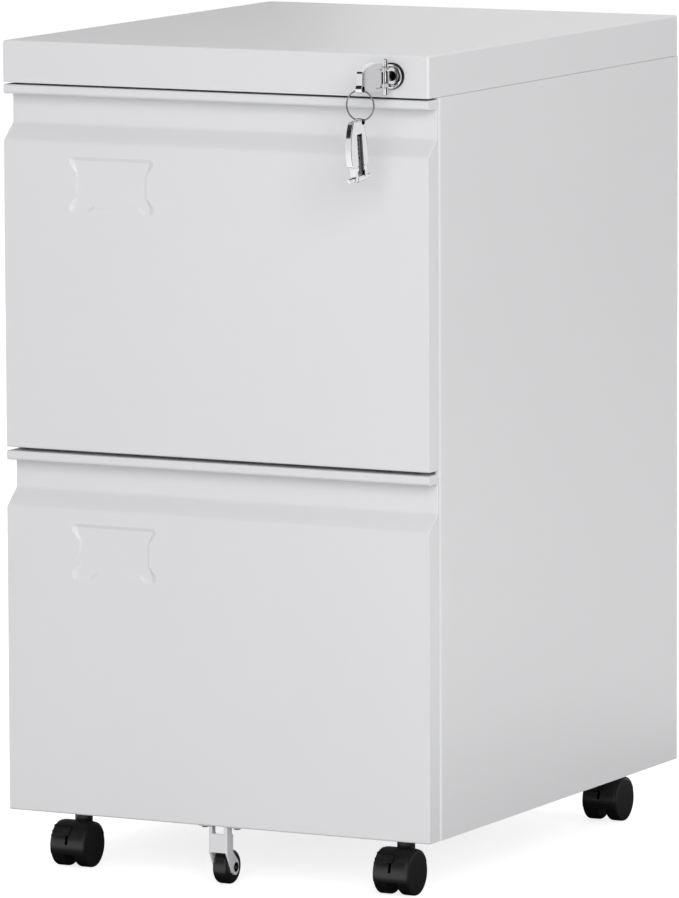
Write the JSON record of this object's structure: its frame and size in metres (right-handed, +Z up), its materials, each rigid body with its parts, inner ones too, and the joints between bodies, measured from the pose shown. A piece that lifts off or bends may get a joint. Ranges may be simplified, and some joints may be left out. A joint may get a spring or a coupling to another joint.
{
  "type": "mobile filing pedestal",
  "caption": "Light grey metal filing pedestal on twin-wheel casters, with stacked full-width file drawers, lip finger pulls, pressed label recesses and a folding-key lock.",
  "frame": {"origin": "on the floor at the middle of the whole outline, with the key that stands in the lock counted in", "axes": "X to the right as seen from the front, Y to the back (the drawers open towards -Y), Z up"},
  "size_m": [0.38, 0.5324, 0.67],
  "materials": {
    "paint": "fine satin powder coat, very light grey",
    "slide_steel": "bright zinc-plated rolled steel",
    "zinc_steel": "zinc-plated steel",
    "black_steel": "black oxide",
    "lock_chrome": "bright nickel-chrome plate on a die casting",
    "blade_nickel": "plain nickel plate, darkened by handling",
    "ring_steel": "drawn wire, darkened",
    "white_nylon": "moulded nylon",
    "rubber": "soft rubber",
    "black_nylon": "satin moulded nylon"
  },
  "bodies": {
    "cabinet": {"side_panel_left": "paint", "side_panel_right": "paint", "back_panel": "paint", "bottom_panel": "paint", "top_cover": "paint", "top_rail": "paint", "rear_rail": "paint", "middle_rail": "paint", "lock_housing": "lock_chrome", "lock_nut": "zinc_steel", "upper_slide_outer": "slide_steel", "lower_slide_outer": "slide_steel", "lock_bar_guides": "white_nylon", "bumpers": "rubber", "caster_stems": "zinc_steel"},
    "upper_drawer": {"upper_drawer_front": "paint", "upper_drawer_liner": "paint", "upper_drawer_screws": "zinc_steel", "upper_drawer_side_left": "paint", "upper_drawer_side_right": "paint", "upper_drawer_bottom": "paint", "upper_drawer_back": "paint", "upper_file_rails": "paint", "upper_slide_inner": "slide_steel"},
    "upper_slide_middles": {"upper_slide_middle": "slide_steel"},
    "lower_drawer": {"lower_drawer_front": "paint", "lower_drawer_liner": "paint", "lower_drawer_screws": "zinc_steel", "lower_drawer_side_left": "paint", "lower_drawer_side_right": "paint", "lower_drawer_bottom": "paint", "lower_drawer_back": "paint", "lower_file_rails": "paint", "lower_slide_inner": "slide_steel", "guide_wheel_bracket": "paint", "guide_wheel_screws": "black_steel", "guide_wheel_axle": "zinc_steel"},
    "lower_slide_middles": {"lower_slide_middle": "slide_steel"},
    "guide_roller": {"guide_wheel": "black_nylon"},
    "lock_core": {"lock_plug": "lock_chrome", "lock_rod": "zinc_steel", "key_blade": "blade_nickel"},
    "key_handle": {"key_head": "lock_chrome"},
    "ring": {"key_ring": "ring_steel"},
    "spare_key": {"spare_key_head": "lock_chrome"},
    "spare_blade": {"spare_key_blade": "blade_nickel"},
    "lock_strip": {"lock_bar": "zinc_steel"},
    "caster_front_left": {"caster_front_left_hood": "black_nylon"},
    "caster_front_left_wheel_pair": {"caster_front_left_wheels": "black_nylon"},
    "caster_front_left_brake_tab": {"caster_front_left_brake": "black_nylon"},
    "caster_front_right": {"caster_front_right_hood": "black_nylon"},
    "caster_front_right_wheel_pair": {"caster_front_right_wheels": "black_nylon"},
    "caster_front_right_brake_tab": {"caster_front_right_brake": "black_nylon"},
    "caster_rear_left": {"caster_rear_left_hood": "black_nylon"},
    "caster_rear_left_wheel_pair": {"caster_rear_left_wheels": "black_nylon"},
    "caster_rear_left_brake_tab": {"caster_rear_left_brake": "black_nylon"},
    "caster_rear_right": {"caster_rear_right_hood": "black_nylon"},
    "caster_rear_right_wheel_pair": {"caster_rear_right_wheels": "black_nylon"},
    "caster_rear_right_brake_tab": {"caster_rear_right_brake": "black_nylon"}
  },
  "joints": [
    {"name": "upper_drawer_slide", "type": "slide", "parent": "cabinet", "child": "upper_drawer", "axis": [0, -1, 0], "range_m": [0, 0.38], "deforming": ["key_ring", "spare_key_head", "spare_key_blade"]},
    {"name": "upper_slide_extension", "type": "slide", "parent": "cabinet", "child": "upper_slide_middles", "axis": [0, -1, 0], "range_m": [0, 0.19]},
    {"name": "lower_drawer_slide", "type": "slide", "parent": "cabinet", "child": "lower_drawer", "axis": [0, -1, 0], "range_m": [0, 0.38]},
    {"name": "lower_slide_extension", "type": "slide", "parent": "cabinet", "child": "lower_slide_middles", "axis": [0, -1, 0], "range_m": [0, 0.19]},
    {"name": "lock_turn", "type": "hinge", "parent": "cabinet", "child": "lock_core", "pos_m": [0.1585, -0.19381, 0.6535], "axis": [0, 1, 0], "range_deg": [0, 90]},
    {"name": "lock_bar_lift", "type": "slide", "parent": "cabinet", "child": "lock_strip", "axis": [0, 0, 1], "range_m": [0, 0.01131]},
    {"name": "key_fold", "type": "hinge", "parent": "lock_core", "child": "key_handle", "pos_m": [0.1585, -0.20581, 0.6535], "axis": [0, 0, 1], "range_deg": [-80, 80]},
    {"name": "ring_swing", "type": "hinge", "parent": "key_handle", "child": "ring", "pos_m": [0.1585, -0.24921, 0.6473], "axis": [1, 0, 0], "range_deg": [-20, 20]},
    {"name": "spare_swing", "type": "hinge", "parent": "ring", "child": "spare_key", "pos_m": [0.1585, -0.24921, 0.6221], "axis": [0.9903, -0.1392, 0], "range_deg": [-30, 30]},
    {"name": "spare_fold", "type": "hinge", "parent": "spare_key", "child": "spare_blade", "pos_m": [0.15827, -0.25083, 0.57829], "axis": [0.1384, 0.9848, 0.1045], "range_deg": [0, 175]},
    {"name": "guide_wheel_spin", "type": "hinge", "parent": "lower_drawer", "child": "guide_roller", "pos_m": [0, -0.17772, 0.0139], "axis": [1, 0, 0], "continuous": true},
    {"name": "caster_front_left_swivel", "type": "hinge", "parent": "cabinet", "child": "caster_front_left", "pos_m": [-0.146, -0.14882, 0.0459], "axis": [0, 0, 1], "continuous": true},
    {"name": "caster_front_left_roll", "type": "hinge", "parent": "caster_front_left", "child": "caster_front_left_wheel_pair", "pos_m": [-0.146, -0.15982, 0.018], "axis": [1, 0, 0], "continuous": true},
    {"name": "caster_front_left_brake_press", "type": "hinge", "parent": "caster_front_left", "child": "caster_front_left_brake_tab", "pos_m": [-0.146, -0.15982, 0.018], "axis": [1, 0, 0], "range_deg": [0, 9]},
    {"name": "caster_front_right_swivel", "type": "hinge", "parent": "cabinet", "child": "caster_front_right", "pos_m": [0.146, -0.14882, 0.0459], "axis": [0, 0, 1], "continuous": true},
    {"name": "caster_front_right_roll", "type": "hinge", "parent": "caster_front_right", "child": "caster_front_right_wheel_pair", "pos_m": [0.146, -0.15982, 0.018], "axis": [1, 0, 0], "continuous": true},
    {"name": "caster_front_right_brake_press", "type": "hinge", "parent": "caster_front_right", "child": "caster_front_right_brake_tab", "pos_m": [0.146, -0.15982, 0.018], "axis": [1, 0, 0], "range_deg": [0, 9]},
    {"name": "caster_rear_left_swivel", "type": "hinge", "parent": "cabinet", "child": "caster_rear_left", "pos_m": [-0.146, 0.23619, 0.0459], "axis": [0, 0, 1], "continuous": true},
    {"name": "caster_rear_left_roll", "type": "hinge", "parent": "caster_rear_left", "child": "caster_rear_left_wheel_pair", "pos_m": [-0.146, 0.22518, 0.018], "axis": [1, 0, 0], "continuous": true},
    {"name": "caster_rear_left_brake_press", "type": "hinge", "parent": "caster_rear_left", "child": "caster_rear_left_brake_tab", "pos_m": [-0.146, 0.22518, 0.018], "axis": [1, 0, 0], "range_deg": [0, 9]},
    {"name": "caster_rear_right_swivel", "type": "hinge", "parent": "cabinet", "child": "caster_rear_right", "pos_m": [0.146, 0.23619, 0.0459], "axis": [0, 0, 1], "continuous": true},
    {"name": "caster_rear_right_roll", "type": "hinge", "parent": "caster_rear_right", "child": "caster_rear_right_wheel_pair", "pos_m": [0.146, 0.22518, 0.018], "axis": [1, 0, 0], "continuous": true},
    {"name": "caster_rear_right_brake_press", "type": "hinge", "parent": "caster_rear_right", "child": "caster_rear_right_brake_tab", "pos_m": [0.146, 0.22518, 0.018], "axis": [1, 0, 0], "range_deg": [0, 9]}
  ],
  "couplings": [
    {"joint": "upper_slide_extension", "follows": "upper_drawer_slide", "ratio": 0.5},
    {"joint": "lower_slide_extension", "follows": "lower_drawer_slide", "ratio": 0.5},
    {"joint": "lock_bar_lift", "follows": "lock_turn", "m_per_rad": 0.0072025}
  ]
}
